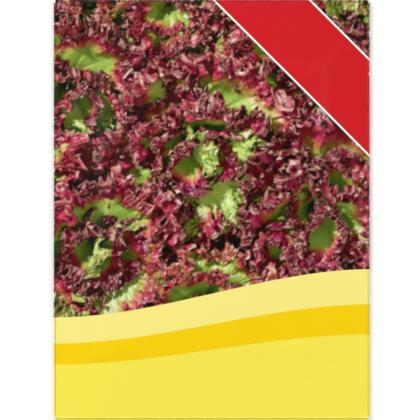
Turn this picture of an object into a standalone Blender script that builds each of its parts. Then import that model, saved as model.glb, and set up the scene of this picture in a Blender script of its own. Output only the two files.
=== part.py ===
"""A sealed seed packet lying on its back: a folded paper envelope round a foil sachet of seeds.

Run with: blender --background --python part.py, or from Blender's text editor.
Metres, +Z up. X runs across the packet, Y up its front, and the origin is under its middle.
"""

import math
import random

import bmesh
import bpy

# The envelope's outside, and the sheet of paper that it is folded from.
PACKET_WIDTH = 0.120
PACKET_HEIGHT = 0.160
PAPER = 0.0003
GLUE_GAP = 0.0001

# Heights of the middle of the paper where its layers lie on each other, from the table up.
FLAP_LEVEL = PAPER / 2
BACK_LEVEL = FLAP_LEVEL + PAPER + GLUE_GAP
OVERLAP_LEVEL = BACK_LEVEL + PAPER + GLUE_GAP
FRONT_EDGE_LEVEL = OVERLAP_LEVEL + 0.0005

# Folds: a half turn of paper down each side, and one at each end.
SIDE_FOLD_RADIUS = (FRONT_EDGE_LEVEL - BACK_LEVEL) / 2
END_FOLD_RADIUS = (FRONT_EDGE_LEVEL - FLAP_LEVEL) / 2
FOLD_STEPS = 6
FRONT_HALF_WIDTH = (PACKET_WIDTH - PAPER) / 2 - SIDE_FOLD_RADIUS
FRONT_HALF_HEIGHT = (PACKET_HEIGHT - PAPER) / 2 - END_FOLD_RADIUS

# The two side flaps meet in a lap seam down the middle of the back.
SIDE_FLAP_HALF_HEIGHT = FRONT_HALF_HEIGHT - 0.0006
LAP_HALF_WIDTH = 0.006
LAP_STEP_START = -0.0095
LAP_STEP_END = -0.0068

# The end flaps fold over the seam: a short one at the foot, and the closing flap at the head.
FOOT_FLAP_DEPTH = 0.014
HEAD_FLAP_DEPTH = 0.022
# How an end flap narrows: (share of its depth, share of the front's width).
END_FLAP_TAPER = ((0.4, 0.985), (0.825, 0.955), (1.0, 0.91))
# Where a side flap has a spare line of corners, as a share of the front's half width.
SIDE_FLAP_LINE = 0.55

# How far the filled front stands above its own edges, and how that swelling fades to them.
FRONT_CROWN = 0.0042
CROWN_POWER = 2.4
CROWN_FADE = 1.4
FRONT_COLUMNS = 22
FRONT_ROWS = 30

# The sachet: two foils with a flat sealed rim.
SACHET_WIDTH = 0.084
SACHET_HEIGHT = 0.110
FOIL = 0.0002
SEAL_WIDTH = 0.006
SEAL_GAP = 0.0001
SACHET_CLEARANCE = 0.0002
BACK_FOIL_LEVEL = OVERLAP_LEVEL + PAPER / 2 + SACHET_CLEARANCE + FOIL / 2
FRONT_FOIL_LEVEL = BACK_FOIL_LEVEL + FOIL + SEAL_GAP
SACHET_CROWN = 0.0022
SACHET_COLUMNS = 14
SACHET_ROWS = 18

# The seeds: ribbed spindles in a shallow heap.
SEED_COUNT = 210
SEED_LENGTH = 0.0038
SEED_WIDTH = 0.0012
SEED_THICKNESS = 0.0008
SEED_SIDES = 5
SEED_TILT = 0.14
# The lowest and highest that a seed's middle lies over the heap, and its two rings of corners:
# (share of its length from the middle, share of its full width).
SEED_LIFT = (-0.0001, 0.0003)
SEED_RINGS = ((-0.22, 0.85), (0.16, 1.0))
HEAP_HALF_WIDTH = 0.015
HEAP_HALF_HEIGHT = 0.020
HEAP_DEPTH = 0.0009
HEAP_SIDES = 20
# The rings of the heap's core: (share of its half width, share of its depth).
HEAP_RINGS = ((0.96, 0.0), (0.96, 0.3), (0.7, 0.75), (0.35, 1.0))
# How much of its depth the heap loses by its rim, and how late.
HEAP_FALL = 0.7
HEAP_FALL_POWER = 2.5
HEAP_CLEARANCE = 0.0003
HEAP_LEVEL = BACK_FOIL_LEVEL + FOIL / 2 + HEAP_CLEARANCE
RANDOM_SEED = 7

PAPER_WHITE = (0.90, 0.88, 0.84, 1.0)
PICTURE_CRIMSON = (0.22, 0.03, 0.05, 1.0)
LABEL_YELLOW = (0.93, 0.79, 0.10, 1.0)
FLASH_RED = (0.63, 0.02, 0.03, 1.0)
FOIL_SILVER = (0.78, 0.79, 0.80, 1.0)
SEED_BROWN = (0.10, 0.07, 0.05, 1.0)

# Where the front's printed fields meet: the label's top, and the flash's two edges by the sum of x and y.
LABEL_TOP = -0.033
FLASH_START = 0.0800
FLASH_END = 0.1175


def clear_scene():
    for obj in list(bpy.data.objects):
        bpy.data.objects.remove(obj, do_unlink=True)


def principled(name, colour, roughness, metallic=0.0):
    material = bpy.data.materials.new(name)
    material.use_nodes = True
    shader = material.node_tree.nodes["Principled BSDF"]
    shader.inputs["Base Color"].default_value = colour
    shader.inputs["Roughness"].default_value = roughness
    shader.inputs["Metallic"].default_value = metallic
    material.diffuse_color = colour
    return material


def add_object(name, bm, materials, smooth_angle=math.radians(40)):
    mesh = bpy.data.meshes.new(name)
    bm.to_mesh(mesh)
    bm.free()
    mesh.shade_smooth()
    mesh.set_sharp_from_angle(angle=smooth_angle)
    for material in materials:
        mesh.materials.append(material)
    obj = bpy.data.objects.new(name, mesh)
    bpy.context.scene.collection.objects.link(obj)
    return obj


def add_thickness(obj, thickness):
    """Gives a bare sheet its thickness, half on each side."""
    solidify = obj.modifiers.new("thickness", "SOLIDIFY")
    solidify.thickness = thickness
    solidify.offset = 0.0
    solidify.use_even_offset = True
    solidify.use_quality_normals = True


def add_grid(bm, columns, rows, place, material_of=None):
    """A grid of quads. place(column, row) gives each corner, and columns and rows hold its coordinates."""
    made = [[bm.verts.new(place(c, r)) for c in columns] for r in rows]
    for lower, upper in zip(made, made[1:]):
        for i in range(len(columns) - 1):
            face = bm.faces.new((lower[i], lower[i + 1], upper[i + 1], upper[i]))
            if material_of:
                face.material_index = material_of(face.calc_center_median())


def spaced(low, high, steps):
    return [low + (high - low) * i / steps for i in range(steps + 1)]


def fade(share):
    """1 in the middle of a panel and 0 at its edge, where share is 1."""
    return max(0.0, 1.0 - abs(share) ** CROWN_POWER) ** CROWN_FADE


def fold_arc(radius, base_level):
    """(how far past the fold line, height) round a half turn, from the front panel down to the back."""
    centre = base_level + radius
    arc = []
    for step in range(1, FOLD_STEPS + 1):
        angle = math.pi * step / FOLD_STEPS
        arc.append((radius * math.sin(angle), centre + radius * math.cos(angle)))
    return arc


def front_height(x, y):
    crown = fade(x / FRONT_HALF_WIDTH) * fade(y / FRONT_HALF_HEIGHT)
    return FRONT_EDGE_LEVEL + FRONT_CROWN * crown


def printed_field(centre):
    """The material of a front face: the label below, the corner flash, or the picture."""
    if centre.z < FRONT_EDGE_LEVEL - 1e-6:
        return 0
    if centre.y < LABEL_TOP:
        return 2
    if FLASH_START < centre.x + centre.y < FLASH_END:
        return 3
    return 1


def front_rows():
    inner = spaced(-SIDE_FLAP_HALF_HEIGHT, SIDE_FLAP_HALF_HEIGHT, FRONT_ROWS)
    return [-FRONT_HALF_HEIGHT] + inner + [FRONT_HALF_HEIGHT]


def front_columns():
    return spaced(-FRONT_HALF_WIDTH, FRONT_HALF_WIDTH, FRONT_COLUMNS)


def side_profile(side):
    """(x, z) along a side flap, from the front panel's edge round the fold to the flap's free edge."""
    points = [(side * FRONT_HALF_WIDTH, FRONT_EDGE_LEVEL)]
    for past, height in fold_arc(SIDE_FOLD_RADIUS, BACK_LEVEL):
        points.append((side * (FRONT_HALF_WIDTH + past), height))
    points.append((side * FRONT_HALF_WIDTH * SIDE_FLAP_LINE, BACK_LEVEL))
    if side > 0:
        points.append((LAP_HALF_WIDTH, BACK_LEVEL))
        points.append((-LAP_HALF_WIDTH, BACK_LEVEL))
    else:
        points.append((LAP_STEP_START, BACK_LEVEL))
        points.append((LAP_STEP_END, OVERLAP_LEVEL))
        points.append((LAP_HALF_WIDTH, OVERLAP_LEVEL))
    return points


def end_profile(end, depth):
    """(y, z, share of full width) along an end flap, from the front panel's edge to the flap's free edge."""
    points = [(end * FRONT_HALF_HEIGHT, FRONT_EDGE_LEVEL, 1.0)]
    for past, height in fold_arc(END_FOLD_RADIUS, FLAP_LEVEL):
        points.append((end * (FRONT_HALF_HEIGHT + past), height, 1.0))
    for reach, share in END_FLAP_TAPER:
        points.append((end * (FRONT_HALF_HEIGHT - reach * depth), FLAP_LEVEL, share))
    return points


def make_envelope():
    """One sheet: the front, two side flaps lapped behind it, and a flap folded over them at each end."""
    bm = bmesh.new()
    columns, rows = front_columns(), front_rows()
    add_grid(bm, columns, rows, lambda x, y: (x, y, front_height(x, y)), printed_field)
    for side in (-1, 1):
        profile = side_profile(side)
        if side > 0:
            profile = profile[::-1]
        add_grid(bm, profile[::-1], rows[1:-1], lambda p, y: (p[0], y, p[1]))
    for end, depth in ((-1, FOOT_FLAP_DEPTH), (1, HEAD_FLAP_DEPTH)):
        profile = end_profile(end, depth)
        if end < 0:
            profile = profile[::-1]
        add_grid(bm, columns, profile, lambda x, p: (x * p[2], p[0], p[1]))
    bmesh.ops.remove_doubles(bm, verts=bm.verts, dist=1e-6)
    bmesh.ops.recalc_face_normals(bm, faces=bm.faces)
    materials = [
        principled("paper", PAPER_WHITE, 0.6),
        principled("printed picture", PICTURE_CRIMSON, 0.4),
        principled("printed label", LABEL_YELLOW, 0.4),
        principled("printed flash", FLASH_RED, 0.4),
    ]
    add_thickness(add_object("envelope", bm, materials), PAPER)


def sachet_height(x, y, level, crown):
    open_half_width = SACHET_WIDTH / 2 - SEAL_WIDTH
    open_half_height = SACHET_HEIGHT / 2 - SEAL_WIDTH
    return level + crown * fade(min(1.0, abs(x) / open_half_width)) * fade(
        min(1.0, abs(y) / open_half_height)
    )


def make_foil(name, level, crown, material):
    """One side of the sachet, flat along its sealed rim."""
    bm = bmesh.new()
    inner_x = SACHET_WIDTH / 2 - SEAL_WIDTH
    inner_y = SACHET_HEIGHT / 2 - SEAL_WIDTH
    columns = [-SACHET_WIDTH / 2] + spaced(-inner_x, inner_x, SACHET_COLUMNS) + [SACHET_WIDTH / 2]
    rows = [-SACHET_HEIGHT / 2] + spaced(-inner_y, inner_y, SACHET_ROWS) + [SACHET_HEIGHT / 2]
    add_grid(bm, columns, rows, lambda x, y: (x, y, sachet_height(x, y, level, crown)))
    add_thickness(add_object(name, bm, [material]), FOIL)


def add_heap_core(bm):
    """The packed middle of the heap: a lens that the seeds stand out of."""
    loops = []
    for share, lift in HEAP_RINGS:
        loops.append(
            [
                bm.verts.new(
                    (
                        HEAP_HALF_WIDTH * share * math.cos(2 * math.pi * i / HEAP_SIDES),
                        HEAP_HALF_HEIGHT * share * math.sin(2 * math.pi * i / HEAP_SIDES),
                        HEAP_LEVEL + HEAP_DEPTH * lift,
                    )
                )
                for i in range(HEAP_SIDES)
            ]
        )
    for lower, upper in zip(loops, loops[1:]):
        for i in range(HEAP_SIDES):
            j = (i + 1) % HEAP_SIDES
            bm.faces.new((lower[i], lower[j], upper[j], upper[i]))
    bm.faces.new(loops[-1])
    bm.faces.new(loops[0][::-1])


def heap_top(x, y):
    """The core's height under a point, which falls off toward its rim."""
    out = min(1.0, math.hypot(x / HEAP_HALF_WIDTH, y / HEAP_HALF_HEIGHT))
    return HEAP_LEVEL + HEAP_DEPTH * (1.0 - HEAP_FALL * out**HEAP_FALL_POWER)


def add_seed(bm, draw):
    """A flattened spindle, pointed at both ends, half sunk in the heap at its own angle."""
    reach = math.sqrt(draw.random())
    bearing = draw.uniform(0, 2 * math.pi)
    x = HEAP_HALF_WIDTH * reach * math.cos(bearing)
    y = HEAP_HALF_HEIGHT * reach * math.sin(bearing)
    turn = draw.uniform(0, math.pi)
    tilt = draw.uniform(-SEED_TILT, SEED_TILT)
    along = (math.cos(turn), math.sin(turn))
    base = heap_top(x, y) + draw.uniform(*SEED_LIFT)

    def place(distance, width, height):
        return (
            x + along[0] * distance - along[1] * width,
            y + along[1] * distance + along[0] * width,
            max(HEAP_LEVEL, base + height + tilt * distance),
        )

    tips = [bm.verts.new(place(end * SEED_LENGTH / 2, 0, 0)) for end in (-1, 1)]
    loops = []
    for distance, girth in SEED_RINGS:
        loops.append(
            [
                bm.verts.new(
                    place(
                        distance * SEED_LENGTH,
                        SEED_WIDTH / 2 * girth * math.cos(2 * math.pi * i / SEED_SIDES),
                        SEED_THICKNESS / 2 * girth * math.sin(2 * math.pi * i / SEED_SIDES),
                    )
                )
                for i in range(SEED_SIDES)
            ]
        )
    for i in range(SEED_SIDES):
        j = (i + 1) % SEED_SIDES
        bm.faces.new((tips[0], loops[0][j], loops[0][i]))
        bm.faces.new((loops[0][i], loops[0][j], loops[1][j], loops[1][i]))
        bm.faces.new((tips[1], loops[1][i], loops[1][j]))


def keep_outside(mesh):
    """Keeps only the largest connected surface, so sealed hollows are filled and loose scraps dropped."""
    bm = bmesh.new()
    bm.from_mesh(mesh)
    left = set(bm.verts)
    islands = []
    while left:
        island = [left.pop()]
        for vert in island:
            for edge in vert.link_edges:
                other = edge.other_vert(vert)
                if other in left:
                    left.remove(other)
                    island.append(other)
        islands.append(island)
    largest = max(islands, key=len)
    for island in islands:
        if island is not largest:
            bmesh.ops.delete(bm, geom=island, context="VERTS")
    bm.to_mesh(mesh)
    bm.free()


def make_seeds():
    """The heap, with every seed joined to its core in one body."""
    draw = random.Random(RANDOM_SEED)
    material = principled("seed coat", SEED_BROWN, 0.7)
    core = bmesh.new()
    add_heap_core(core)
    bmesh.ops.recalc_face_normals(core, faces=core.faces)
    heap = add_object("seeds", core, [material])
    loose = bpy.data.collections.new("loose seeds")
    bpy.context.scene.collection.children.link(loose)
    for number in range(SEED_COUNT):
        bm = bmesh.new()
        add_seed(bm, draw)
        bmesh.ops.recalc_face_normals(bm, faces=bm.faces)
        seed = add_object(f"seed_{number}", bm, [material])
        bpy.context.scene.collection.objects.unlink(seed)
        loose.objects.link(seed)
    union = heap.modifiers.new("join the seeds", "BOOLEAN")
    union.operation = "UNION"
    union.operand_type = "COLLECTION"
    union.collection = loose
    union.solver = "MANIFOLD"
    bpy.context.view_layer.update()
    graph = bpy.context.evaluated_depsgraph_get()
    joined = bpy.data.meshes.new_from_object(heap.evaluated_get(graph))
    heap.modifiers.clear()
    keep_outside(joined)
    joined.shade_smooth()
    joined.set_sharp_from_angle(angle=math.radians(35))
    heap.data = joined
    for seed in list(loose.objects):
        bpy.data.objects.remove(seed, do_unlink=True)
    bpy.data.collections.remove(loose)


def main():
    clear_scene()
    make_envelope()
    foil = principled("foil", FOIL_SILVER, 0.3, metallic=1.0)
    make_foil("sachet_back", BACK_FOIL_LEVEL, 0.0, foil)
    make_foil("sachet_front", FRONT_FOIL_LEVEL, SACHET_CROWN, foil)
    make_seeds()


main()
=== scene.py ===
"""Looks for a sealed seed packet that lies on its back on a pale floor, seen from straight above.

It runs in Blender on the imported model. Lengths are in metres, apart from the printed picture, which is
made in millimetres of print. +X is to the right across the front, +Y up the front and +Z out of it.
"""

import math

import bpy
import numpy as np
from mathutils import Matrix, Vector
from mathutils.bvhtree import BVHTree

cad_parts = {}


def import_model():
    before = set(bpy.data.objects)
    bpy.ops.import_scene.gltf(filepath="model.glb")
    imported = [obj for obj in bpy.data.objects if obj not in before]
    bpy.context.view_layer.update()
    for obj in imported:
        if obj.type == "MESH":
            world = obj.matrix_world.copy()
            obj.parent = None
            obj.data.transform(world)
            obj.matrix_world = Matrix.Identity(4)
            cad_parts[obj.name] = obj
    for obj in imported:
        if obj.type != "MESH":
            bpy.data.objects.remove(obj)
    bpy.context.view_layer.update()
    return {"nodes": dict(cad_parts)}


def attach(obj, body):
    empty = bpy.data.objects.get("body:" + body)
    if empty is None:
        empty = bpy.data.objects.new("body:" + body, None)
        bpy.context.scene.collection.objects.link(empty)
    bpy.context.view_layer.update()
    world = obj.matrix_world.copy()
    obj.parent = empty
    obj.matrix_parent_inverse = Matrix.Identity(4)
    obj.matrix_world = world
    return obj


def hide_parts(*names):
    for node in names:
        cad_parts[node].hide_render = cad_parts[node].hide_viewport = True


# The packet, with the same values as in its solids.
PACKET_WIDTH = 0.120
PACKET_HEIGHT = 0.160
PAPER = 0.0003
GLUE_GAP = 0.0001
FLAP_LEVEL = PAPER / 2
BACK_LEVEL = FLAP_LEVEL + PAPER + GLUE_GAP
OVERLAP_LEVEL = BACK_LEVEL + PAPER + GLUE_GAP
FRONT_EDGE_LEVEL = OVERLAP_LEVEL + 0.0005
SIDE_FOLD_RADIUS = (FRONT_EDGE_LEVEL - BACK_LEVEL) / 2
END_FOLD_RADIUS = (FRONT_EDGE_LEVEL - FLAP_LEVEL) / 2
FRONT_HALF_WIDTH = (PACKET_WIDTH - PAPER) / 2 - SIDE_FOLD_RADIUS
FRONT_HALF_HEIGHT = (PACKET_HEIGHT - PAPER) / 2 - END_FOLD_RADIUS
SIDE_FLAP_HALF_HEIGHT = FRONT_HALF_HEIGHT - 0.0006
LAP_HALF_WIDTH = 0.006
LAP_STEP_START = -0.0095
LAP_STEP_END = -0.0068
FOOT_FLAP_DEPTH = 0.014
HEAD_FLAP_DEPTH = 0.022
FRONT_CROWN = 0.0042
CROWN_POWER = 2.4
CROWN_FADE = 1.4
SACHET_HALF_WIDTH = 0.042
SACHET_HALF_HEIGHT = 0.055
HEAP_HALF_WIDTH = 0.015
HEAP_HALF_HEIGHT = 0.020
# Soft creases from handling: (start, end, height, half width).
CREASES = (
    ((-0.054, -0.060), (-0.020, -0.047), 0.00030, 0.0016),
    ((0.028, -0.070), (0.056, -0.052), -0.00026, 0.0014),
    ((0.030, 0.046), (0.057, 0.066), 0.00030, 0.0018),
    ((-0.056, 0.040), (-0.036, 0.062), -0.00024, 0.0016),
)

# What the filled front shows of what is in it, and of handling. The sachet's edge is a step that starts
# this far outside it and ends this far inside. The rest are heights, and the cells of the noise behind them.
SACHET_STEP = 0.00024
SACHET_STEP_OUT = 0.0028
SACHET_STEP_IN = 0.0016
SEED_LUMP = 0.00016
SEED_LUMP_CELL = 0.0026
DENT = 0.00065
DENT_CELL = 0.026
DENT_LEVEL = 0.7
STRAIN = 0.00028
STRAIN_CELL = 0.0075
# The strained ridges' two ways across the front, in radians, each with its noise's seed.
STRAIN_WAYS = ((0.9, 33), (-0.9, 34))
# The relief fades out over this much of the front beside its folds.
RELIEF_RIM = 0.007

# The mesh of the printed front: fine where the picture is, and coarser over the label.
PRINT_PITCH = 0.00042
LABEL_PITCH = 0.0016
PICTURE_FOOT = -0.042
FOLD_STEPS = 8
# The bare paper under the print. Round a fold it reaches this far across the front, and its middle lies
# this much inside the sheet's own. Between the folds it is thinner, so the print's relief stays above it.
FOLD_PAPER_REACH = 0.005
PRINT_DEPTH = 0.00002
FRONT_PAPER = 0.0002
# Points across and along the plain stretches of the sheet, and how much an end flap narrows at each step.
FOLD_PAPER_ROWS = 90
FRONT_PAPER_COLUMNS = 100
FRONT_PAPER_ROWS = 130
RIGHT_FLAP_COLUMNS = 40
LEFT_FLAP_COLUMNS = 120
SIDE_FLAP_ROWS = 60
END_FLAP_COLUMNS = 60
END_FLAP_ROWS = 24
END_FLAP_TAPER = 0.045

# Printed label: (height at the left edge, height at the right edge) of each band's top.
CREAM_TOP = (-0.0408, -0.0225)
GOLD_TOP = (-0.0507, -0.0358)
FIELD_TOP = (-0.0587, -0.0472)
CREAM = "F3E680"
GOLD = "F2CC04"
FIELD = "F3E24E"

# Corner flash, by the sum of x and y along its two edges, its white edge lines, and the softness of print.
FLASH_START = 0.0800
FLASH_END = 0.1175
KEYLINE = 0.0010
PRINT_SOFT = 0.00008
FLASH_RED = "C91A22"
PAPER_WHITE = "F4F2EC"

# The print's gloss. Along the folds it wears to white paper: between these two places across a fold the wear
# sets in, and noise between these two levels decides where.
PRINT_SPECULAR = 0.28
PRINT_ROUGHNESS = (0.24, 0.36)
WEAR_PLACES = (-0.0006, 0.0004)
WEAR_LEVELS = (1.16, 1.30)

# The back is printed plain yellow from this far above and below its middle.
PANEL_START = 0.0566
PANEL_SOFT = 0.0002

# The darkest and lightest tones of the other surfaces.
PAPER_TONES = ("E9E6DC", "F6F4EE")
FOIL_TONES = ("C9CCD0", "E9EAEC")
SEED_TONES = ("2E2620", "8E7B62")
SEED_STREAK = "C9B899"
FLOOR_TONES = ("FBFBFA", "FDFDFC")

# Printed picture: the bed of lettuces that is drawn for it, in millimetres of print.
PICTURE_SEED = 8
LEAF_COLUMNS = 460
LEAF_ROWS_INNER = 11
LEAF_ROWS_FRILL = 28
# Where a leaf's plain inner part ends and its frill begins, as a share of the way to its margin.
FRILL_START = 0.62
# Waves in a leaf's outline: (how many across it, depth, share of the way to the margin where they start).
OUTLINE_WAVES = ((4, 0.05, 0.2), (9, 0.04, 0.2), (62, 0.03, 0.88), (131, 0.03, 0.88))
# Ruffles: (how many across the leaf, size in leaf lengths, where they start, how much they twist).
RUFFLES = (
    (4, 0.07, 0.1, 1.0),
    (12, 0.052, 0.45, 3.0),
    (27, 0.050, 0.62, 9.0),
    (58, 0.050, 0.70, 20.0),
    (118, 0.036, 0.76, 45.0),
)
# Crumpling: (cell, how far it moves a point, where it starts).
CRUMPLES = (
    (9.0, 1.4, 0.2),
    (4.0, 1.1, 0.44),
    (2.2, 1.3, 0.58),
    (1.1, 0.95, 0.66),
)
# Places of the side veins, from -1 at one side of the leaf to 1 at the other.
SIDE_VEINS = (-0.7, -0.4, 0.4, 0.7)
# A leaf's spine is worked out in this many steps, to this many times its length.
SPINE_STEPS = 70
SPINE_REACH = 1.4
# How much greener than its head a leaf may be, and the odds of each. Leaves turn by the golden angle.
GREEN_SHIFTS = (-0.3, 0.0, 0.2, 0.4, 1.6)
GREEN_ODDS = (0.3, 0.3, 0.2, 0.1, 0.1)
GREEN_RANGE = (-0.3, 1.8)
LEAF_TURN = 2.39996
HEAD_LEAN = -0.5
# Where the rays of one printed point start, in points from its middle.
OFFSETS = ((-0.25, -0.25), (0.25, -0.25), (-0.25, 0.25), (0.25, 0.25))
# Rays start this high over the bed, or this far off a leaf, and look this far for shade.
LOOK_HEIGHT = 200
RAY_LIFT = 0.2
SUN_REACH = 60
SUN_JITTER = 0.03
SKY_RAYS = 3
SUN_WAY = (-0.45, 0.35, 0.85)
SKY_REACH = 30.0
# A point's skylight is averaged this many points each way, over about this much difference in height.
BLUR_REACH = 3
BLUR_HEIGHT = 1.0
# Each head: across, up, leaf length, leaves, how green it is from 0 to 1, and height.
HEADS = (
    (-8, 30, 42, 12, 0.0, 6),
    (-56, 50, 40, 11, 0.2, 0),
    (40, 64, 42, 11, 0.0, 2),
    (-44, -8, 40, 11, 0.0, 4),
    (38, 4, 42, 12, 0.1, 3),
    (80, 30, 36, 13, 0.0, 0),
    (-4, -38, 36, 14, 0.6, 0),
    (-16, 84, 36, 13, 0.5, -2),
    (60, -40, 36, 13, 0.0, 0),
    (-70, -42, 36, 13, 0.0, 0),
    (-84, 12, 36, 12, 0.3, 0),
    (22, 104, 36, 12, 0.2, 0),
    (76, 80, 34, 12, 0.4, -4),
    (-64, 94, 34, 12, 0.1, -4),
)
LEAF_COLOURS = (
    (0.00, "E6E7A0"),
    (0.30, "B4CC5A"),
    (0.62, "8AAC48"),
    (0.71, "9A8A3C"),
    (0.77, "A2543A"),
    (0.84, "A02C40"),
    (0.93, "7F1A34"),
    (1.00, "64142C"),
)
RIM = "CC9C80"
PRINT_GAIN = 0.95
PRINT_BLACK = 0.018
UNDER_LABEL = (0.05, 0.01, 0.01, 1.0)
# How far a leaf's greenness holds back the red, and how strong its pale rim is.
GREEN_SHIFT = 0.20
RIM_STRENGTH = 0.45
# Light on the leaves: from the sun, through a leaf from behind, and from the sky, which dims toward the soil.
SUN_STRENGTH = 2.2
SUN_THROUGH = 0.8
SKY_STRENGTH = 1.7
DEEP_SKY = 0.16
RISING_SKY = 0.90
DEEP_LEVEL = -4
DEEP_SPAN = 34
GLINT = 0.70
GLINT_POWER = 30
SHEEN = 0.07
SHEEN_POWER = 6
SKY_SHEEN = 0.05
GLINT_COLOUR = (1.0, 0.88, 0.88)
GAP_COLOUR = (0.010, 0.014, 0.006)
# The film's curve, from light to print.
FILM_GAIN = 1.04
FILM_SPEED = 1.15
FILM_GAMMA = 1.15

# The stage. The camera looks straight down, on a sensor measured in millimetres.
FRAME_HEIGHT = 0.1595
CAMERA_DISTANCE = 0.889
CAMERA_RISE = 0.0015
CAMERA_LEFT = 0.00065
SENSOR = 36.0
FLOOR_RADIUS = 1.0
FLOOR_SIDES = 96
FLOOR_DROP = 0.0001
# The white walls' light turns into the dimmer ceiling's between these two rises of the view.
WALL_LIGHT = 0.85
CEILING_LIGHT = 0.10
CEILING_START = 0.10
CEILING_FULL = 0.45
# Each light: name, place, width and depth, and power.
LIGHTS = (
    ("key", (-0.75, 0.45, 0.85), (0.7, 0.7), 9.1),
    ("fill_right", (0.85, 0.25, 0.75), (0.8, 0.8), 4.8),
    ("fill_front", (0.05, -0.9, 0.75), (0.9, 0.6), 4.8),
    ("fill_back", (0.0, 0.95, 0.7), (0.9, 0.6), 3.4),
)


def srgb(text):
    """A colour written as six hexadecimal digits, as linear values."""
    parts = [int(text[i : i + 2], 16) / 255 for i in (0, 2, 4)]
    return tuple(p / 12.92 if p <= 0.04045 else ((p + 0.055) / 1.055) ** 2.4 for p in parts)


def smooth(low, high, x):
    """0 at low and 1 at high, with a soft step between."""
    share = np.clip((x - low) / (high - low), 0, 1)
    return share * share * (3 - 2 * share)


def value_noise(points, seed):
    """Smooth noise from -1 to 1 at an (n, 3) array of points, with cells one unit across."""
    cell = np.floor(points).astype(np.int64)
    part = points - cell
    part = part * part * (3 - 2 * part)
    total = np.zeros(len(points))
    for corner in range(8):
        step = np.array([corner & 1, (corner >> 1) & 1, corner >> 2])
        at = cell + step
        mixed = at[:, 0] * 73856093 ^ at[:, 1] * 19349663 ^ at[:, 2] * 83492791 ^ seed * 2654435761
        mixed = (mixed ^ (mixed >> 13)) * 1274126177 & 0x7FFFFFFF
        mixed = (mixed ^ (mixed >> 15)) * 374761393 & 0x7FFFFFFF
        weight = np.where(step == 1, part, 1 - part).prod(axis=1)
        total += ((mixed & 0xFFFF) / 32767.5 - 1) * weight
    return total


def flat_noise(x, y, cell, seed):
    """The same noise over a surface, with cells of the given size."""
    flat = np.stack([np.ravel(x) / cell, np.ravel(y) / cell, np.full(np.size(x), 0.5)], 1)
    return value_noise(flat + 100, seed).reshape(np.shape(x))


# The printed picture: leaves are grown as a mesh, looked down on with rays, and shaded.


def leaf_outline(draw, across, along, angle):
    """How far the leaf reaches each way, as a share of its length, with its lobes and toothed margin."""
    outline = 1 - 0.20 * np.abs(across) ** 3
    for waves, depth, start in OUTLINE_WAVES:
        phase = draw.uniform(0, 6.28) + 1.5 * np.sin(7 * angle + draw.uniform(0, 6.28))
        outline += depth * np.sin(waves * angle + phase) * smooth(start, 1, along)
    return outline


def ruffled(draw, angle, along, length):
    """How far the ruffles lift the blade off its plane, push it aside and pull it in."""
    lift, push, pull = (np.zeros_like(angle) for _ in range(3))
    for waves, size, start, twist in RUFFLES:
        growth = size * length * draw.uniform(0.8, 1.15) * smooth(start, 1, along)
        turn = waves * draw.uniform(0.9, 1.1) * angle
        for wander in (1.3, 3.1, 6.7):
            turn += draw.uniform(0.3, 1.3) * np.sin(wander * waves * 0.21 * angle + draw.uniform(0, 6.28))
        turn += twist * along * np.sin(waves * 0.17 * angle + draw.uniform(0, 6.28))
        strength = 0.75 + 0.5 * np.sin(waves * 0.31 * angle + draw.uniform(0, 6.28))
        lift += growth * strength * np.sin(turn)
        push += growth * strength * 0.9 * np.cos(turn + draw.uniform(0.2, 1.0))
        pull += growth * 0.6 * np.sin(turn * 0.5 + draw.uniform(0, 6.28))
    return lift, push, pull


def vein_depth(side, across, along, length):
    """How far the middle vein and the side veins sink into the blade, which is plain toward the frill."""
    vein = 0.02 * np.exp(-((side / (0.03 * length)) ** 2))
    for place in SIDE_VEINS:
        vein += 0.010 * np.exp(-(((across - place) / 0.03) ** 2)) * smooth(0.15, 0.3, along)
    blade = 1 - smooth(0.55, 1, along)
    return vein * blade * length


def bent(reach, off, length, rise, arch, dip):
    """(x, z) of points this far along the leaf's spine and off it. The spine rises, arches over and dips."""
    grid = np.linspace(0, SPINE_REACH, SPINE_STEPS)
    lean = rise + (arch - rise) * smooth(0.0, 0.8, grid) + dip * smooth(0.72, 1.1, grid)
    step = grid[1] * length
    out_along = np.concatenate([[0], np.cumsum(np.sin(lean[:-1]))]) * step
    up_along = np.concatenate([[0], np.cumsum(np.cos(lean[:-1]))]) * step
    where = np.clip(reach / length, 0, SPINE_REACH)
    tilt = np.interp(where, grid, lean)
    x = np.interp(where, grid, out_along) - np.cos(tilt) * off
    z = np.interp(where, grid, up_along) + np.sin(tilt) * off
    return x, z


def leaf_points(draw, length, spread, rise, arch, dip):
    """One frilled leaf growing from the origin toward +X, and each point's share of the way to the margin."""
    inner = np.linspace(0, FRILL_START, LEAF_ROWS_INNER)
    frill = np.linspace(FRILL_START, 1, LEAF_ROWS_FRILL)
    across, along = np.meshgrid(np.linspace(-1, 1, LEAF_COLUMNS), np.concatenate([inner, frill[1:]]))
    angle = across * spread
    radius = along * length * leaf_outline(draw, across, along, angle)
    side = radius * np.sin(angle) * (0.30 + 0.70 * smooth(0, 0.75, along))
    lift, push, pull = ruffled(draw, angle, along, length)
    reach = radius * np.cos(angle * 0.8) + pull * np.cos(angle)
    off = lift + 0.5 * side**2 / length - vein_depth(side, across, along, length)
    x, z = bent(reach, off, length, rise, arch, dip)
    points = np.stack([x, side + push, z], -1).reshape(-1, 3)
    share = along.reshape(-1)
    for cell, amount, start in CRUMPLES:
        at = points / cell + draw.uniform(0, 50)
        crumple = np.stack([value_noise(at, 11 + axis) for axis in range(3)], 1)
        points += amount * smooth(start, 1, share)[:, None] * crumple
    return points, share


def turned(points, axis, angle):
    """The points turned about one axis through the origin."""
    c, s = math.cos(angle), math.sin(angle)
    a, b = [i for i in range(3) if i != axis]
    made = points.copy()
    made[:, a] = points[:, a] * c - points[:, b] * s
    made[:, b] = points[:, a] * s + points[:, b] * c
    return made


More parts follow.
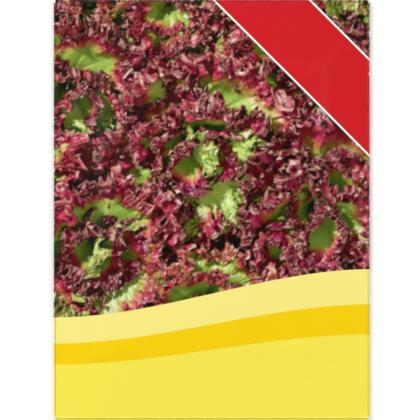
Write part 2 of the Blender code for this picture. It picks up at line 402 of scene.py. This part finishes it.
def lettuce_bed():
    """Every leaf's points, share toward the margin and greenness, and the faces of one leaf."""
    draw = np.random.default_rng(PICTURE_SEED)
    points, shares, greens = [], [], []
    for across, up, size, count, green, height in HEADS:
        facing = draw.uniform(-0.5, 0.5) - 1.4
        for number in range(count):
            out = (number + 0.5) / count
            length = size * (0.40 + 0.60 * out**0.8) * draw.uniform(0.85, 1.15)
            rise = math.radians(2 + 50 * out + draw.uniform(-6, 6))
            arch = math.radians(25 + 62 * out + draw.uniform(-14, 14))
            dip = math.radians(draw.uniform(-60, 40))
            spread = math.radians(draw.uniform(62, 88))
            leaf, share = leaf_points(draw, length, spread, rise, arch, dip)
            leaf += (0.07 * size * out, 0, size * 0.22 * (1 - out))
            leaf = turned(leaf, 2, number * LEAF_TURN + draw.uniform(-0.25, 0.25) - facing)
            leaf = turned(leaf, 1, HEAD_LEAN)
            leaf = turned(leaf, 2, facing)
            points.append(leaf + (across, up, height))
            shares.append(share)
            greens.append(green + draw.choice(GREEN_SHIFTS, p=GREEN_ODDS))
    rows = LEAF_ROWS_INNER + LEAF_ROWS_FRILL - 1
    index = np.arange(rows * LEAF_COLUMNS).reshape(rows, LEAF_COLUMNS)
    faces = np.stack([index[:-1, :-1], index[:-1, 1:], index[1:, 1:], index[1:, :-1]], -1)
    return points, shares, greens, faces.reshape(-1, 4)


def mesh_from(name, points, faces):
    """A mesh of quads from arrays of points and corners."""
    mesh = bpy.data.meshes.new(name)
    mesh.vertices.add(len(points))
    mesh.vertices.foreach_set("co", np.asarray(points, np.float32).ravel())
    mesh.loops.add(len(faces) * 4)
    mesh.loops.foreach_set("vertex_index", np.asarray(faces, np.int32).ravel())
    mesh.polygons.add(len(faces))
    mesh.polygons.foreach_set("loop_start", np.arange(0, len(faces) * 4, 4, dtype=np.int32))
    mesh.update(calc_edges=True)
    mesh.shade_smooth()
    return mesh


def ramp(share, stops):
    """Colours along a list of (share, colour)."""
    places = [place for place, _ in stops]
    colours = np.array([srgb(text) for _, text in stops])
    return np.stack([np.interp(share, places, colours[:, i]) for i in range(3)], -1)


def sky_seen(cast, starts, normals, found, draw, rays):
    """How much open sky each found point sees, from 0 to 1."""
    seen = np.zeros(len(starts))
    for _ in range(rays):
        ways = normals + 0.98 * unit(draw.normal(0, 1, starts.shape))
        ways = unit(ways)
        for i in found:
            blocked = cast(starts[i], ways[i], SKY_REACH)
            clear = 1.0 if blocked[2] is None else 0.4 * blocked[3] / SKY_REACH
            seen[i] += clear * (0.5 + 0.5 * ways[i, 2])
    return seen / rays


def same_leaf_mean(values, place, normal, x, y, pitch):
    """Each value as a mean over its neighbours on the same stretch of leaf, which clears the rays' grain."""
    column = np.rint((x - x.min()) / pitch).astype(int)
    row = np.rint((y - y.min()) / pitch).astype(int)
    index = np.full((row.max() + 2 * BLUR_REACH + 1, column.max() + 2 * BLUR_REACH + 1), -1)
    index[row + BLUR_REACH, column + BLUR_REACH] = np.arange(len(x))
    total = values.copy()
    weight = np.ones(len(x))
    for up in range(2 * BLUR_REACH + 1):
        for across in range(2 * BLUR_REACH + 1):
            other = index[row + up, column + across]
            drop = (place[other, 2] - place[:, 2]) / BLUR_HEIGHT
            turn = np.clip((normal[other] * normal).sum(1), 0, 1)
            near = np.exp(-(drop**2)) * turn**4 * (other >= 0)
            total += near * values[other]
            weight += near
    return total / weight


def unit(vectors):
    """The same ways, each of length 1."""
    return vectors / (np.linalg.norm(vectors, axis=1, keepdims=True) + 1e-9)


def bed_tree(points, faces):
    """The bed as a tree for rays, and the leaves' normals at their points."""
    mesh = mesh_from("leaves", points, faces)
    bed = bpy.data.objects.new("leaves", mesh)
    bpy.context.scene.collection.objects.link(bed)
    bpy.context.view_layer.update()
    tree = BVHTree.FromObject(bed, bpy.context.evaluated_depsgraph_get())
    normals = np.empty(len(points) * 3, np.float32)
    mesh.vertices.foreach_get("normal", normals)
    bpy.data.objects.remove(bed, do_unlink=True)
    bpy.data.meshes.remove(mesh)
    return tree, normals.reshape(-1, 3).astype(float)


def look_down(tree, x, y):
    """Where a ray from straight above lands at each place, and on which face: -1 where it misses."""
    down = Vector((0, 0, -1))
    place = np.zeros((len(x), 3))
    face = np.full(len(x), -1)
    for i, (a, b) in enumerate(zip(x.tolist(), y.tolist())):
        hit, _, index, _ = tree.ray_cast((a, b, LOOK_HEIGHT), down)
        if index is not None:
            place[i] = hit
            face[i] = index
    return place, face


def leaf_colour(share, green, place):
    """The leaf's own colour: green inside, red toward the frill, and pale along the rim."""
    speck = 0.05 * value_noise(place / 1.3, 61) + 0.05 * value_noise(place / 4.0, 62)
    albedo = ramp(np.clip(share - GREEN_SHIFT * green + speck, 0, 1), LEAF_COLOURS)
    rim = RIM_STRENGTH * smooth(0.975, 0.998, share)
    return albedo + (np.array(srgb(RIM)) - albedo) * rim[:, None]


def lit_colour(albedo, normal, sun, lit, sky):
    """The leaf's colour under the sun and the sky, with a glint, and some sun through it from behind."""
    facing = normal @ sun
    middle = unit((sun + (0, 0, 1))[None])[0]
    glint = np.clip(normal @ middle, 0, 1)
    shine = lit * (GLINT * glint**GLINT_POWER + SHEEN * glint**SHEEN_POWER) + SKY_SHEEN * sky
    through = SUN_THROUGH * lit * np.clip(0.25 - facing, 0, 1)
    light = SUN_STRENGTH * lit * np.clip(facing, 0, 1) + SKY_STRENGTH * sky + through
    return albedo * light[:, None] + shine[:, None] * GLINT_COLOUR


def picture_colours(x, y, pitch):
    """The printed picture's linear colour at each place, in millimetres, as a mean over jittered rays."""
    points, shares, greens, quad = lettuce_bed()
    leaf_size = len(points[0])
    count = len(points)
    points = np.concatenate(points)
    shares = np.concatenate(shares)
    greens = np.array(greens)
    faces = (quad[None] + (np.arange(count) * leaf_size)[:, None, None]).reshape(-1, 4)
    tree, normals = bed_tree(points, faces)

    draw = np.random.default_rng(PICTURE_SEED + 1)
    sun = unit(np.array([SUN_WAY]))[0]
    total = np.zeros((len(x), 3))
    offsets = OFFSETS
    for shift_x, shift_y in offsets:
        place, face = look_down(tree, x + shift_x * pitch, y + shift_y * pitch)
        found = np.nonzero(face >= 0)[0].tolist()
        corners = faces[face]
        near = 1 / (np.linalg.norm(points[corners] - place[:, None, :], axis=2) + 1e-6) ** 2
        near /= near.sum(1, keepdims=True)
        share = (shares[corners] * near).sum(1)
        normal = unit((normals[corners] * near[..., None]).sum(1))
        normal[normal[:, 2] < 0] *= -1
        start = place + normal * RAY_LIFT
        lit = np.zeros(len(x))
        ways = sun + draw.normal(0, SUN_JITTER, (len(x), 3))
        for i in found:
            lit[i] = tree.ray_cast(start[i], ways[i], SUN_REACH)[2] is None
        sky = sky_seen(tree.ray_cast, start, normal, found, draw, SKY_RAYS)
        sky = same_leaf_mean(sky, place, normal, x, y, pitch)
        sky *= DEEP_SKY + RISING_SKY * np.clip((place[:, 2] - DEEP_LEVEL) / DEEP_SPAN, 0, 1)
        green = np.clip(greens[face // len(quad)], *GREEN_RANGE)
        colour = lit_colour(leaf_colour(share, green, place), normal, sun, lit, sky)
        colour[face < 0] = GAP_COLOUR
        total += FILM_GAIN * (1 - np.exp(-FILM_SPEED * colour)) ** FILM_GAMMA
    return np.maximum(PRINT_GAIN * total / len(offsets) - PRINT_BLACK, 0)


# The folded sheet.


def fade(share):
    """1 in the middle of the front and 0 at its edge, where share is 1."""
    return np.clip(1 - np.abs(share) ** CROWN_POWER, 0, 1) ** CROWN_FADE


def relief(x, y):
    """What the sachet, the seeds and handling press into the filled front, in metres."""
    panel = fade(x / FRONT_HALF_WIDTH) * fade(y / FRONT_HALF_HEIGHT)
    edge_x = smooth(SACHET_HALF_WIDTH + SACHET_STEP_OUT, SACHET_HALF_WIDTH - SACHET_STEP_IN, np.abs(x))
    edge_y = smooth(SACHET_HALF_HEIGHT + SACHET_STEP_OUT, SACHET_HALF_HEIGHT - SACHET_STEP_IN, np.abs(y))
    made = SACHET_STEP * edge_x * edge_y
    heap = smooth(1.25, 0.7, np.hypot(x / HEAP_HALF_WIDTH, y / HEAP_HALF_HEIGHT))
    made = made + heap * SEED_LUMP * flat_noise(x, y, SEED_LUMP_CELL, 31)
    made = made + DENT * panel**0.7 * (flat_noise(x, y, DENT_CELL, 32) - DENT_LEVEL)
    for turn, seed in STRAIN_WAYS:
        along = x * math.cos(turn) + y * math.sin(turn)
        cross = -x * math.sin(turn) + y * math.cos(turn)
        strain = smooth(0.15, 0.9, flat_noise(along / 5, cross, STRAIN_CELL, seed))
        made = made + STRAIN * strain * panel**0.5
    for start, end, depth, width in CREASES:
        run = np.subtract(end, start)
        length = np.hypot(*run)
        along = ((x - start[0]) * run[0] + (y - start[1]) * run[1]) / length**2
        cross = ((y - start[1]) * run[0] - (x - start[0]) * run[1]) / length
        ends = smooth(0, 0.25, along) * smooth(1, 0.75, along)
        made = made + depth * ends * np.exp(-np.abs(cross) / width)
    rim_x = smooth(0, RELIEF_RIM, FRONT_HALF_WIDTH - np.abs(x))
    rim_y = smooth(0, RELIEF_RIM, FRONT_HALF_HEIGHT - np.abs(y))
    return made * (rim_x * rim_y)


def front_height(x, y):
    """The printed surface's height."""
    crown = fade(x / FRONT_HALF_WIDTH) * fade(y / FRONT_HALF_HEIGHT)
    return FRONT_EDGE_LEVEL + PAPER / 2 + FRONT_CROWN * crown + relief(x, y)


def fold_arc(radius, base_level):
    """(how far past the fold line, height) round the outside of a half turn, from the front to the back."""
    made = []
    outer = radius + PAPER / 2
    for step in range(1, FOLD_STEPS + 1):
        angle = math.pi * step / FOLD_STEPS
        made.append((outer * math.sin(angle), base_level + radius + outer * math.cos(angle)))
    return made


def grid_faces(rows, columns):
    """The quads of a grid of points, row by row."""
    index = np.arange(rows * columns).reshape(rows, columns)
    return np.stack([index[:-1, :-1], index[:-1, 1:], index[1:, 1:], index[1:, :-1]], -1).reshape(-1, 4)


def add_piece(name, mesh, material):
    """A piece that rides on the packet's one body."""
    mesh.materials.append(material)
    obj = bpy.data.objects.new(name, mesh)
    bpy.context.scene.collection.objects.link(obj)
    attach(obj, "root")
    return obj


def make_front(material):
    """The printed face, round its side and end folds as far as the back, with the picture in its colours."""
    label_rows = int(round((PICTURE_FOOT + SIDE_FLAP_HALF_HEIGHT) / LABEL_PITCH))
    picture_rows = int(round((SIDE_FLAP_HALF_HEIGHT - PICTURE_FOOT) / PRINT_PITCH))
    columns = int(round(2 * FRONT_HALF_WIDTH / PRINT_PITCH))
    ys = np.concatenate(
        [
            [-FRONT_HALF_HEIGHT],
            np.linspace(-SIDE_FLAP_HALF_HEIGHT, PICTURE_FOOT, label_rows + 1)[:-1],
            np.linspace(PICTURE_FOOT, SIDE_FLAP_HALF_HEIGHT, picture_rows + 1),
            [FRONT_HALF_HEIGHT],
        ]
    )
    xs = np.linspace(-FRONT_HALF_WIDTH, FRONT_HALF_WIDTH, columns + 1)
    x, y = np.meshgrid(xs, ys)
    parts = [np.stack([x, y, front_height(x, y)], -1).reshape(-1, 3)]
    faces = [grid_faces(len(ys), len(xs))]
    index = np.arange(len(ys) * len(xs)).reshape(len(ys), len(xs))
    first = len(parts[0])
    for radius, level, ends in ((SIDE_FOLD_RADIUS, BACK_LEVEL, False), (END_FOLD_RADIUS, FLAP_LEVEL, True)):
        for side in (-1, 1):
            edge = index[-1 if side > 0 else 0] if ends else index[1:-1, -1 if side > 0 else 0]
            base = parts[0][edge]
            rows = [edge]
            for past, height in fold_arc(radius, level):
                ring = base.copy()
                ring[:, 1 if ends else 0] += side * past
                ring[:, 2] = height
                parts.append(ring)
                rows.append(np.arange(first, first + len(ring)))
                first += len(ring)
            strip = np.array(rows)
            quads = np.stack([strip[:-1, :-1], strip[:-1, 1:], strip[1:, 1:], strip[1:, :-1]], -1)
            quads = quads.reshape(-1, 4)
            faces.append(quads[:, ::-1] if (side > 0) == ends else quads)
    points = np.concatenate(parts)
    mesh = mesh_from("printed_front", points, np.concatenate(faces))
    colour = np.tile(np.array(UNDER_LABEL), (len(points), 1))
    pictured = points[:, 1] > PICTURE_FOOT - 1e-6
    place = points[pictured] * 1000
    colour[pictured, :3] = picture_colours(place[:, 0], place[:, 1], PRINT_PITCH * 1000)
    attribute = mesh.color_attributes.new("picture", "FLOAT_COLOR", "POINT")
    attribute.data.foreach_set("color", colour.astype(np.float32).ravel())
    obj = add_piece("printed_front", mesh, material)
    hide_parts("envelope")
    return obj


def make_sheet(name, across, along, place, material, thickness=PAPER):
    """A stretch of the sheet. place gives (x, y, z) arrays from two coordinate arrays."""
    a, b = np.meshgrid(across, along)
    points = np.stack(place(a, b), -1).reshape(-1, 3)
    mesh = mesh_from(name, points, grid_faces(len(along), len(across)))
    obj = add_piece(name, mesh, material)
    solid = obj.modifiers.new("thickness", "SOLIDIFY")
    solid.thickness = thickness
    solid.offset = 0.0
    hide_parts("envelope")
    return obj


def make_fold_paper(material):
    """The bare paper under the print, round each fold: its edge shows where a fold ends at a corner."""
    folds = (
        ("left_fold_paper", SIDE_FOLD_RADIUS, BACK_LEVEL, -1, False),
        ("right_fold_paper", SIDE_FOLD_RADIUS, BACK_LEVEL, 1, False),
        ("foot_fold_paper", END_FOLD_RADIUS, FLAP_LEVEL, -1, True),
        ("head_fold_paper", END_FOLD_RADIUS, FLAP_LEVEL, 1, True),
    )
    # Below 0 the first coordinate is a distance across the front, and above 0 a share of the half turn.
    across = np.concatenate([np.linspace(-FOLD_PAPER_REACH, 0, 5)[:-1], np.linspace(0, 1, FOLD_STEPS + 1)])
    for name, radius, level, side, at_end in folds:
        half = FRONT_HALF_HEIGHT if at_end else FRONT_HALF_WIDTH
        length = FRONT_HALF_WIDTH if at_end else SIDE_FLAP_HALF_HEIGHT

        def place(a, b, radius=radius, level=level, side=side, at_end=at_end, half=half):
            turn = math.pi * np.maximum(a, 0)
            inner = radius - PRINT_DEPTH
            out = side * (half + np.minimum(a, 0) + inner * np.sin(turn))
            x, y = (b, out) if at_end else (out, b)
            flat = front_height(x, y) - PAPER / 2 - PRINT_DEPTH
            return x, y, np.where(a <= 0, flat, level + radius + inner * np.cos(turn))

        along = np.linspace(-length, length, FOLD_PAPER_ROWS)
        make_sheet(name, across, along, place, material, PAPER - 3 * PRINT_DEPTH)


def make_front_paper(material):
    """The bare paper under the print, between the folds."""
    columns = np.linspace(-1, 1, FRONT_PAPER_COLUMNS) * (FRONT_HALF_WIDTH - FOLD_PAPER_REACH)
    rows = np.linspace(-1, 1, FRONT_PAPER_ROWS) * (FRONT_HALF_HEIGHT - FOLD_PAPER_REACH)

    def place(a, b):
        return a, b, front_height(a, b) - PAPER + FRONT_PAPER / 2

    make_sheet("front_paper", columns, rows, place, material, FRONT_PAPER)


def make_back(material):
    """The two side flaps lapped behind the sachet, and the end flaps glued over them."""
    rows = np.linspace(-SIDE_FLAP_HALF_HEIGHT, SIDE_FLAP_HALF_HEIGHT, SIDE_FLAP_ROWS)

    def inner(a, b):
        return a, b, np.full_like(a, BACK_LEVEL)

    def outer(a, b):
        step = smooth(LAP_STEP_START, LAP_STEP_END, a)
        return a, b, BACK_LEVEL + step * (OVERLAP_LEVEL - BACK_LEVEL)

    right = np.linspace(-LAP_HALF_WIDTH, FRONT_HALF_WIDTH, RIGHT_FLAP_COLUMNS)
    left = np.linspace(-FRONT_HALF_WIDTH, LAP_HALF_WIDTH, LEFT_FLAP_COLUMNS)
    make_sheet("right_side_flap", right, rows, inner, material)
    make_sheet("left_side_flap", left, rows, outer, material)
    for name, end, depth in (("foot_flap", -1, FOOT_FLAP_DEPTH), ("closing_flap", 1, HEAD_FLAP_DEPTH)):

        def flap(a, b, end=end, depth=depth):
            share = 1 - END_FLAP_TAPER * smooth(0, 1, b) - END_FLAP_TAPER * smooth(0.75, 1, b)
            return a * share, end * (FRONT_HALF_HEIGHT - b * depth), np.full_like(a, FLAP_LEVEL)

        columns = np.linspace(-FRONT_HALF_WIDTH, FRONT_HALF_WIDTH, END_FLAP_COLUMNS)
        make_sheet(name, columns, np.linspace(0, 1, END_FLAP_ROWS), flap, material)


# Materials.


def add_node(tree, kind, inputs=None, **settings):
    """A shader node. inputs maps a socket's name or number to a value or to another node's output."""
    node = tree.nodes.new("ShaderNode" + kind)
    for name, value in settings.items():
        setattr(node, name, value)
    for key, value in (inputs or {}).items():
        socket = node.inputs[key]
        if isinstance(value, bpy.types.NodeSocket):
            tree.links.new(value, socket)
        else:
            socket.default_value = value
    return node


def maths(tree, operation, *values):
    """The result of one sum on values or outputs."""
    return add_node(tree, "Math", dict(enumerate(values)), operation=operation).outputs[0]


def mix(tree, share, first, second):
    """One colour laid over another by a share from 0 to 1."""
    colours = [(*c, 1.0) if isinstance(c, tuple) else c for c in (first, second)]
    inputs = {0: share, 6: colours[0], 7: colours[1]}
    return add_node(tree, "Mix", inputs, data_type="RGBA").outputs[2]


def step_up(tree, value, low, high):
    """0 below low and 1 above high."""
    inputs = {"Value": value, "From Min": low, "From Max": high}
    return add_node(tree, "MapRange", inputs, interpolation_type="SMOOTHSTEP").outputs[0]


def noise(tree, where, scale, detail=2.0):
    """Noise from 0 to 1, with scale cells to the metre."""
    inputs = {"Vector": where, "Scale": scale, "Detail": detail}
    return add_node(tree, "TexNoise", inputs).outputs[0]


def new_material(name):
    """A material with its tree, shader, and the object coordinates that its patterns read."""
    material = bpy.data.materials.new(name)
    material.use_nodes = True
    tree = material.node_tree
    where = add_node(tree, "TexCoord").outputs["Object"]
    return material, tree, tree.nodes["Principled BSDF"], where


def set_up(tree, shader, **sockets):
    """Sets or links a shader's sockets, named with _ for a space."""
    for name, value in sockets.items():
        socket = shader.inputs[name.replace("_", " ")]
        if isinstance(value, bpy.types.NodeSocket):
            tree.links.new(value, socket)
        else:
            socket.default_value = value


def bump(tree, height, distance, below=None):
    """A surface roughened by a height of up to distance, over another bump."""
    inputs = {"Height": height, "Distance": distance, "Strength": 1.0}
    if below:
        inputs["Normal"] = below
    return add_node(tree, "Bump", inputs).outputs[0]


def band_top(tree, x, heights):
    """The height of a band's top, which swings from one side of the packet to the other."""
    inputs = {
        "Value": x,
        "From Min": -PACKET_WIDTH / 2,
        "From Max": PACKET_WIDTH / 2,
        "To Min": heights[0],
        "To Max": heights[1],
    }
    return add_node(tree, "MapRange", inputs, interpolation_type="SMOOTHSTEP").outputs[0]


def front_material():
    """Coated paper: the picture, the label's bands, the corner flash, and paper showing along worn folds."""
    material, tree, shader, where = new_material("printed front")
    place = add_node(tree, "SeparateXYZ", {0: where})
    x, y = place.outputs[0], place.outputs[1]
    colour = add_node(tree, "Attribute", attribute_name="picture").outputs["Color"]
    for heights, text in ((CREAM_TOP, CREAM), (GOLD_TOP, GOLD), (FIELD_TOP, FIELD)):
        below = maths(tree, "SUBTRACT", band_top(tree, x, heights), y)
        colour = mix(tree, step_up(tree, below, -PRINT_SOFT, PRINT_SOFT), colour, srgb(text))
    across = maths(tree, "ADD", x, y)
    middle = (FLASH_START + FLASH_END) / 2
    half = (FLASH_END - FLASH_START) / 2
    away = maths(tree, "ABSOLUTE", maths(tree, "SUBTRACT", across, middle))
    colour = mix(tree, step_up(tree, away, half + PRINT_SOFT, half - PRINT_SOFT), colour, srgb(PAPER_WHITE))
    inside = half - KEYLINE
    colour = mix(tree, step_up(tree, away, inside + PRINT_SOFT, inside - PRINT_SOFT), colour, srgb(FLASH_RED))

    off_x = maths(tree, "SUBTRACT", maths(tree, "ABSOLUTE", x), FRONT_HALF_WIDTH)
    off_y = maths(tree, "SUBTRACT", maths(tree, "ABSOLUTE", y), FRONT_HALF_HEIGHT)
    fold = maths(tree, "MAXIMUM", off_x, off_y)
    rubbed = maths(tree, "ADD", noise(tree, where, 420.0, 4.0), noise(tree, where, 60.0))
    rubbed = maths(tree, "MULTIPLY", rubbed, step_up(tree, fold, *WEAR_PLACES))
    colour = mix(tree, step_up(tree, rubbed, *WEAR_LEVELS), colour, srgb(PAPER_WHITE))
    fibre = noise(tree, where, 2600.0, 3.0)
    swell = noise(tree, where, 260.0, 2.0)
    normal = bump(tree, swell, 0.00003, bump(tree, fibre, 0.000012))
    smooth_print, rough_print = PRINT_ROUGHNESS
    handled = {"Value": noise(tree, where, 90.0, 3.0), "To Min": smooth_print, "To Max": rough_print}
    rough = add_node(tree, "MapRange", handled).outputs[0]
    set_up(tree, shader, Base_Color=colour, Roughness=rough, Normal=normal)
    shader.inputs["Specular IOR Level"].default_value = PRINT_SPECULAR
    return material


def paper_material(name, panels):
    """White paper with fibres. With panels, its outer side is plain yellow toward both ends."""
    material, tree, shader, where = new_material(name)
    grain = noise(tree, where, 900.0, 5.0)
    cloud = noise(tree, where, 45.0, 3.0)
    tone = maths(tree, "MULTIPLY", grain, cloud)
    colour = mix(tree, step_up(tree, tone, 0.12, 0.45), *map(srgb, PAPER_TONES))
    if panels:
        y = maths(tree, "ABSOLUTE", add_node(tree, "SeparateXYZ", {0: where}).outputs[1])
        facing = add_node(tree, "TexCoord").outputs["Normal"]
        up = add_node(tree, "SeparateXYZ", {0: facing}).outputs[2]
        in_panel = step_up(tree, y, PANEL_START, PANEL_START + PANEL_SOFT)
        printed = maths(tree, "MULTIPLY", in_panel, step_up(tree, up, -0.3, -0.6))
        colour = mix(tree, printed, colour, srgb(FIELD))
    set_up(tree, shader, Base_Color=colour, Roughness=0.62, Normal=bump(tree, grain, 0.00003))
    return material


def foil_material():
    """Crinkled silver foil."""
    material, tree, shader, where = new_material("sachet foil")
    cells = add_node(tree, "TexVoronoi", {"Vector": where, "Scale": 160.0}, feature="DISTANCE_TO_EDGE")
    ridges = add_node(tree, "TexWave", {"Vector": where, "Scale": 260.0}, bands_direction="DIAGONAL")
    normal = bump(tree, cells.outputs[0], 0.0004, bump(tree, ridges.outputs[1], 0.00005))
    tone = mix(tree, noise(tree, where, 140.0, 3.0), *map(srgb, FOIL_TONES))
    set_up(tree, shader, Base_Color=tone, Metallic=1.0, Roughness=0.28, Normal=normal)
    return material


def seed_material():
    """Brown seed coats with paler streaks."""
    material, tree, shader, where = new_material("seed coat")
    streaks = noise(tree, where, 1500.0, 4.0)
    patches = noise(tree, where, 240.0, 2.0)
    colour = mix(tree, step_up(tree, patches, 0.35, 0.65), *map(srgb, SEED_TONES))
    colour = mix(tree, step_up(tree, streaks, 0.45, 0.75), colour, srgb(SEED_STREAK))
    set_up(tree, shader, Base_Color=colour, Roughness=0.7, Normal=bump(tree, streaks, 0.00008))
    return material


def floor_material():
    """Matt, nearly white."""
    material, tree, shader, where = new_material("pale floor")
    colour = mix(tree, noise(tree, where, 9.0, 2.0), *map(srgb, FLOOR_TONES))
    set_up(tree, shader, Base_Color=colour, Roughness=0.9)
    shader.inputs["Specular IOR Level"].default_value = 0.1
    return material


# The stage.


def add_area_light(name, place, size, power):
    """A soft light that faces the packet."""
    light = bpy.data.lights.new(name, "AREA")
    light.shape = "RECTANGLE"
    light.size, light.size_y = size
    light.energy = power
    obj = bpy.data.objects.new(name, light)
    obj.location = place
    obj.rotation_euler = (-Vector(place)).to_track_quat("-Z", "Y").to_euler()
    bpy.context.scene.collection.objects.link(obj)


def studio_world():
    """White walls all round, with a dimmer ceiling."""
    world = bpy.data.worlds.new("studio")
    world.use_nodes = True
    tree = world.node_tree
    background = tree.nodes["Background"]
    way = add_node(tree, "TexCoord").outputs["Generated"]
    up = add_node(tree, "SeparateXYZ", {0: way}).outputs[2]
    inputs = {
        "Value": up,
        "From Min": CEILING_START,
        "From Max": CEILING_FULL,
        "To Min": WALL_LIGHT,
        "To Max": CEILING_LIGHT,
    }
    tree.links.new(add_node(tree, "MapRange", inputs).outputs[0], background.inputs["Strength"])
    background.inputs["Color"].default_value = (1.0, 1.0, 1.0, 1.0)
    return world


def make_stage():
    """The camera, the floor and the light."""
    scene = bpy.context.scene
    camera = bpy.data.cameras.new("camera")
    camera.sensor_width = SENSOR
    camera.lens = SENSOR * CAMERA_DISTANCE / FRAME_HEIGHT
    camera.clip_start = 0.05
    camera.clip_end = 20
    obj = bpy.data.objects.new("camera", camera)
    obj.location = (-CAMERA_LEFT, 0, CAMERA_DISTANCE + CAMERA_RISE)
    scene.collection.objects.link(obj)
    scene.camera = obj

    turns = [2 * math.pi * i / FLOOR_SIDES for i in range(FLOOR_SIDES)]
    rim = [(FLOOR_RADIUS * math.cos(turn), FLOOR_RADIUS * math.sin(turn), 0) for turn in turns]
    mesh = bpy.data.meshes.new("floor")
    mesh.from_pydata(rim, [], [range(FLOOR_SIDES)])
    mesh.materials.append(floor_material())
    floor = bpy.data.objects.new("floor", mesh)
    floor.location.z = -FLOOR_DROP
    scene.collection.objects.link(floor)

    scene.world = studio_world()
    for light in LIGHTS:
        add_area_light(*light)
    scene.view_settings.view_transform = "Standard"
    scene.view_settings.look = "None"


def main():
    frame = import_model()
    make_front(front_material())
    bare_paper = paper_material("bare paper", False)
    make_front_paper(bare_paper)
    make_fold_paper(bare_paper)
    make_back(paper_material("paper back", True))
    foil = foil_material()
    for name, material in (("sachet_back", foil), ("sachet_front", foil), ("seeds", seed_material())):
        mesh = frame["nodes"][name].data
        mesh.materials.clear()
        mesh.materials.append(material)
    make_stage()


main()
